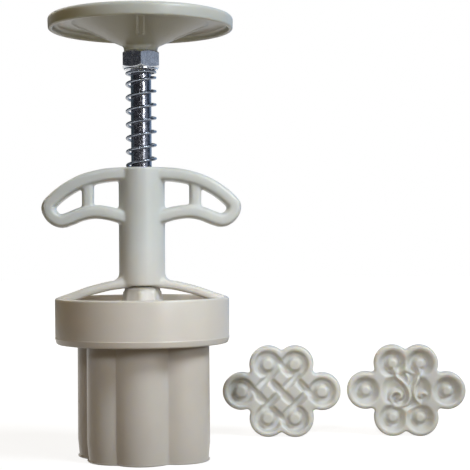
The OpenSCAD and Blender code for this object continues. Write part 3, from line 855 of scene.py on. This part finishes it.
def plated_steel(name, light, dark, roughness, speck=1.0):
    """Bright plating with darker mottling."""
    n = Nodes(bpy.data.materials.new(name))
    mottle = n.noise(1100, 5.0, 0.62, (1, 1, 0.6))
    n.set(Base_Color=n.ramp(mottle, 0.38, dark, 0.62, light), Metallic=1.0,
          Roughness=n.map(n.noise(900, 3.0), roughness, roughness + 0.16))
    n.bump(n.noise(800, 4.0, 0.6), 0.35 * speck, 0.00012)
    return n.owner


def dress(obj, node, body, material):
    """Gives a new piece its finish and its body, and hides the CAD node it stands for."""
    obj.data.materials.clear()
    obj.data.materials.append(material)
    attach(obj, body)
    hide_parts(node)
    return obj


def finish_node(node, material):
    """A better material on a CAD node that stays."""
    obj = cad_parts[node]
    if not obj.material_slots:
        obj.data.materials.append(material)
    for slot in obj.material_slots:
        slot.material = material


# ---------------------------------------------------------------- studio

def look(position, yaw, pitch, roll, focal_px, width_px=470):
    """A camera at a place, turned right by yaw, up by pitch and clockwise by roll, in degrees."""
    yaw, pitch, roll = (math.radians(v) for v in (yaw, pitch, roll))
    forward = Vector((math.sin(yaw) * math.cos(pitch), math.cos(yaw) * math.cos(pitch), math.sin(pitch)))
    level_right = Vector((math.cos(yaw), -math.sin(yaw), 0))
    level_up = level_right.cross(forward)
    right = level_right * math.cos(roll) - level_up * math.sin(roll)
    up = right.cross(forward)
    data = bpy.data.cameras.new("camera")
    data.sensor_width = 36
    data.lens = data.sensor_width * focal_px / width_px
    data.clip_start = 0.01
    camera = scene_object("camera", data)
    camera.matrix_world = Matrix((
        (right.x, up.x, -forward.x, position[0]),
        (right.y, up.y, -forward.y, position[1]),
        (right.z, up.z, -forward.z, position[2]),
        (0, 0, 0, 1)))
    bpy.context.scene.camera = camera


def lamp(kind, name, position, target, power, colour):
    """A lamp aimed at a point. Gives its data, for what only its kind has."""
    data = bpy.data.lights.new(name, kind)
    data.energy = power
    data.color = colour
    light = scene_object(name, data)
    light.location = position
    light.rotation_euler = (Vector(target) - Vector(position)).to_track_quat("-Z", "Y").to_euler()
    return data


def area_light(name, position, target, size, power, colour):
    """A round soft lamp."""
    data = lamp("AREA", name, position, target, power, colour)
    data.shape = "DISK"
    data.size = size


def spot_light(name, position, target, degrees, power, colour):
    """A soft-edged spot."""
    data = lamp("SPOT", name, position, target, power, colour)
    data.spot_size = math.radians(degrees)
    data.spot_blend = 0.9
    data.shadow_soft_size = 0.09


def stage_mesh(name, vertices, faces, material):
    """A mesh of the studio, in metres."""
    mesh = bpy.data.meshes.new(name)
    mesh.from_pydata(vertices, [], faces)
    obj = scene_object(name, mesh)
    mesh.materials.append(material)
    return obj


def set_world():
    """White where it is seen, a dim warm light where it lights."""
    world = bpy.data.worlds.new("studio")
    bpy.context.scene.world = world
    n = Nodes(world, clear=True)
    dim = n.add("Background", Color=(1.0, 0.71, 0.32, 1), Strength=0.17)
    n.show(dim, n.add("Background", Color=WHITE, Strength=1.0), "OutputWorld")


def make_floor():
    """A white floor that keeps a pale shadow. It gives back little light, so undersides stay dim."""
    n = Nodes(bpy.data.materials.new("floor_white"), clear=True)
    dim = n.add("BsdfDiffuse", Color=(0.13, 0.09, 0.035, 1))
    pale = n.add("BsdfDiffuse", Color=(0.25, 0.25, 0.25, 1))
    # The shadow fades out with the distance from the press, so that the floor runs into the backdrop.
    reach = n.add("VectorMath")
    reach.operation = "LENGTH"
    n.put(reach, 0, n.place())
    glow = n.add("Emission", Color=WHITE, Strength=n.map(reach.outputs["Value"], 0.86, 1.0, 0.10, 0.45))
    both = n.add("AddShader")
    n.put(both, 0, pale.outputs[0])
    n.put(both, 1, glow.outputs[0])
    n.show(dim, both, "OutputMaterial")
    half = 3
    stage_mesh("floor", [(-half, -half, 0), (half, -half, 0), (half, half, 0), (-half, half, 0)],
               [(0, 1, 2, 3)], n.owner)


def make_card(name, start, end, colour):
    """A card round the set that only reflections see, from one bearing to another (0 is in front)."""
    distance, height, panels = 0.95, 1.1, 6
    n = Nodes(bpy.data.materials.new(name), clear=True)
    n.add("OutputMaterial", Surface=n.add("Emission", Color=(*colour, 1)).outputs[0])
    bearings = [math.radians(start + (end - start) * k / panels) for k in range(panels + 1)]
    wall = [(distance * math.sin(a), -distance * math.cos(a)) for a in bearings]
    card = stage_mesh(name, [(x, y, z) for x, y in wall for z in (0.0, height)],
                      [(2 * k, 2 * k + 2, 2 * k + 3, 2 * k + 1) for k in range(panels)], n.owner)
    card.visible_camera = False
    card.visible_diffuse = False
    card.visible_shadow = False
    card.visible_transmission = False


look((0, -0.5873, 0.0942), yaw=4.03, pitch=0.41, roll=0.42, focal_px=1320)
bpy.context.scene.view_settings.view_transform = "Standard"
set_world()
make_floor()
for card in (
    ("card_left", -175, -95, (0.09, 0.13, 0.15)),
    ("card_front", -95, 23, (0.042, 0.044, 0.052)),
    ("card_dim", 37, 54, (0.12, 0.15, 0.20)),
    ("card_blue", 54, 70, (0.36, 0.41, 0.50)),
    ("card_right", 70, 112, (0.05, 0.08, 0.12)),
    ("card_edge", 112, 176, (0.42, 0.58, 0.80)),
):
    make_card(*card)
area_light("key", (1.28, -1.2, 1.5), (0.02, 0, 0.09), 0.68, 34.0, (0.81, 0.91, 1.0))
spot_light("front_fill", (0.58, -0.95, 0.35), (0.01, 0, 0.100), 11.4, 19.0, (0.93, 0.97, 1.0))
spot_light("disc_glow", (0.03, -0.48, 0.03), (0, 0, 0.190), 9.5, 5.4, (1.0, 0.93, 0.45))
area_light("back_fill", (-0.7, 1.3, 0.9), (0, 0, 0.09), 0.7, 8.0, (1.0, 0.93, 0.82))
spot_light("stamp_lamp", (-0.06, -0.66, 0.34), (0.1, 0.058, 0.024), 12, 23.0, (1.0, 1.0, 1.0))

ivory = ivory_plastic("ivory_abs_moulded", 1.0)
# The barrel's copy of the plastic has its warm colour darkened: painted shade for the barrel's lesser light.
barrel_ivory_painted_shade = ivory_plastic("ivory_abs_barrel_painted_shade", 1.0, painted_shade_tone=0.88)
stamp_ivory = ivory_plastic("ivory_abs_stamps", 0.25, 0.5)
rod_metal = plated_steel("rod_plating", (0.40, 0.41, 0.46), (0.21, 0.206, 0.225), 0.17)
nut_metal = plated_steel("nut_zinc_plating", (0.74, 0.76, 0.80), (0.48, 0.50, 0.54), 0.16, 0.4)
wire_metal = plated_steel("spring_plating", (0.33, 0.36, 0.41), (0.16, 0.18, 0.22), 0.14, 0.3)

dress(make_barrel(), "mold_barrel", "barrel", barrel_ivory_painted_shade)
dress(make_handle(), "handle_body", "handle", ivory)
dress(make_disc(), "palm_disc", "plunger", ivory)
dress(make_foot(), "press_foot", "plunger", ivory)
dress(make_rod(), "push_rod", "plunger", rod_metal)
dress(make_nut(), "lock_nut", "plunger", nut_metal)
dress(stamp_mesh("knot_plate", knot_height, KNOT_PLACE), "stamp_knot", "barrel", stamp_ivory)
dress(stamp_mesh("scroll_plate", scroll_height, SCROLL_PLACE), "stamp_scroll", "barrel", stamp_ivory)
spring = dress(make_spring(), "return_spring", "handle", wire_metal)
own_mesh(spring)
for hidden_metal in ("foot_washer", "foot_nut"):
    finish_node(hidden_metal, nut_metal)
